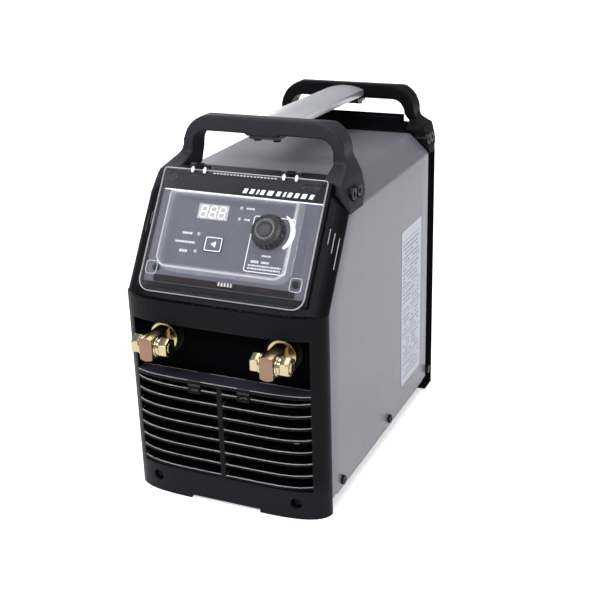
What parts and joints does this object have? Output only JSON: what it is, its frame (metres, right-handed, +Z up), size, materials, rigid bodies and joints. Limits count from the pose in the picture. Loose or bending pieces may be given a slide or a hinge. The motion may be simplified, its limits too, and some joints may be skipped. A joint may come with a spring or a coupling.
{
  "type": "tig welder",
  "caption": "Portable inverter welder: sheet-metal case, louvred moulded front, hinged clear cover over sloping controls, brass stud terminals and a bar between two handles.",
  "frame": {"origin": "centre of the bounding box in plan, on the ground under the feet", "axes": "+X right seen from the front, +Y from the front to the back, +Z up; the terminals and the sloping panel face -Y"},
  "size_m": [0.1638, 0.295, 0.2759],
  "materials": {
    "cover_paint": "fine satin, slightly metallic grey",
    "tray_steel": "satin dark grey",
    "fascia_plastic": "fine-grained moulding",
    "bezel_plastic": "fine-grained moulding",
    "panel_steel": "satin",
    "handle_plastic": "soft fine grain",
    "grip_metal": "satin silver grey",
    "zinc_steel": "zinc plated",
    "black_steel": "black oxide",
    "panel_film": "screen-printed film",
    "black_plastic": "moulded",
    "display_face": "smooth",
    "led_lens": "milky lens",
    "button_film": "embossed film",
    "knob_plastic": "fine grain, fluted",
    "board_laminate": "green laminate",
    "clear_plastic": "clear moulded polycarbonate",
    "terminal_brass": "turned and plated",
    "sink_aluminium": "extruded",
    "capacitor_sleeve": "shrink sleeve",
    "core_ferrite": "matt ferrite",
    "winding_copper": "enamelled copper",
    "fan_plastic": "moulded",
    "rocker_plastic": "glossy",
    "label_film": "printed film"
  },
  "bodies": {
    "housing": {"base_tray": "tray_steel", "top_cover": "cover_paint", "front_fascia": "fascia_plastic", "rear_bezel": "bezel_plastic", "rear_panel": "panel_steel", "front_handle": "handle_plastic", "rear_handle": "handle_plastic", "grip_bar": "grip_metal", "grip_screws": "zinc_steel", "handle_screws": "black_steel", "cover_screws": "black_steel", "fascia_screws": "black_steel", "rear_screws": "black_steel", "control_panel": "panel_film", "panel_screws": "black_steel", "display_module": "black_plastic", "display_lens": "display_face", "indicator_leds": "led_lens", "button_switch": "black_plastic", "potentiometer": "zinc_steel", "control_board": "board_laminate", "board_spacers": "terminal_brass", "cover_hinge_pins": "zinc_steel", "terminal_insulators": "black_plastic", "terminal_studs": "terminal_brass", "terminal_bolts": "terminal_brass", "terminal_washers": "terminal_brass", "terminal_nuts": "terminal_brass", "stud_back_nuts": "terminal_brass", "busbars": "terminal_brass", "sink_supports": "board_laminate", "heat_sinks": "sink_aluminium", "power_transistors": "black_plastic", "bridge_rectifier": "black_plastic", "main_board": "board_laminate", "board_pillars": "zinc_steel", "filter_capacitors": "capacitor_sleeve", "transformer_core": "core_ferrite", "transformer_winding": "winding_copper", "output_choke": "winding_copper", "fan_frame": "black_plastic", "finger_guard": "zinc_steel", "fan_screws": "zinc_steel", "power_switch": "black_plastic", "cable_gland": "black_plastic", "gland_nut": "black_plastic", "gland_locknut": "black_plastic", "earth_stud": "terminal_brass", "earth_nuts": "terminal_brass", "side_label": "label_film"},
    "clear_cover": {"clear_cover": "clear_plastic"},
    "knob": {"current_knob": "knob_plastic", "knob_shaft": "zinc_steel"},
    "button": {"select_button": "button_film"},
    "fan": {"fan_rotor": "fan_plastic"},
    "rocker": {"switch_rocker": "rocker_plastic"}
  },
  "joints": [
    {"name": "cover_hinge", "type": "hinge", "parent": "housing", "child": "clear_cover", "pos_m": [0, -0.07009, 0.24407], "axis": [-1, 0, 0], "range_deg": [0, 120]},
    {"name": "knob_turn", "type": "hinge", "parent": "housing", "child": "knob", "pos_m": [0.0275, -0.09172, 0.20682], "axis": [0, -0.8329, 0.5534], "range_deg": [-150, 150]},
    {"name": "button_press", "type": "slide", "parent": "housing", "child": "button", "axis": [0, 0.8329, -0.5534], "range_m": [0, 0.0008], "stiffness_N_per_m": 600},
    {"name": "fan_spin", "type": "hinge", "parent": "housing", "child": "fan", "pos_m": [0, 0.0995, 0.1], "axis": [0, 1, 0], "continuous": true},
    {"name": "rocker_tilt", "type": "hinge", "parent": "housing", "child": "rocker", "pos_m": [0.04, 0.107, 0.193], "axis": [1, 0, 0], "range_deg": [0, 20]}
  ]
}
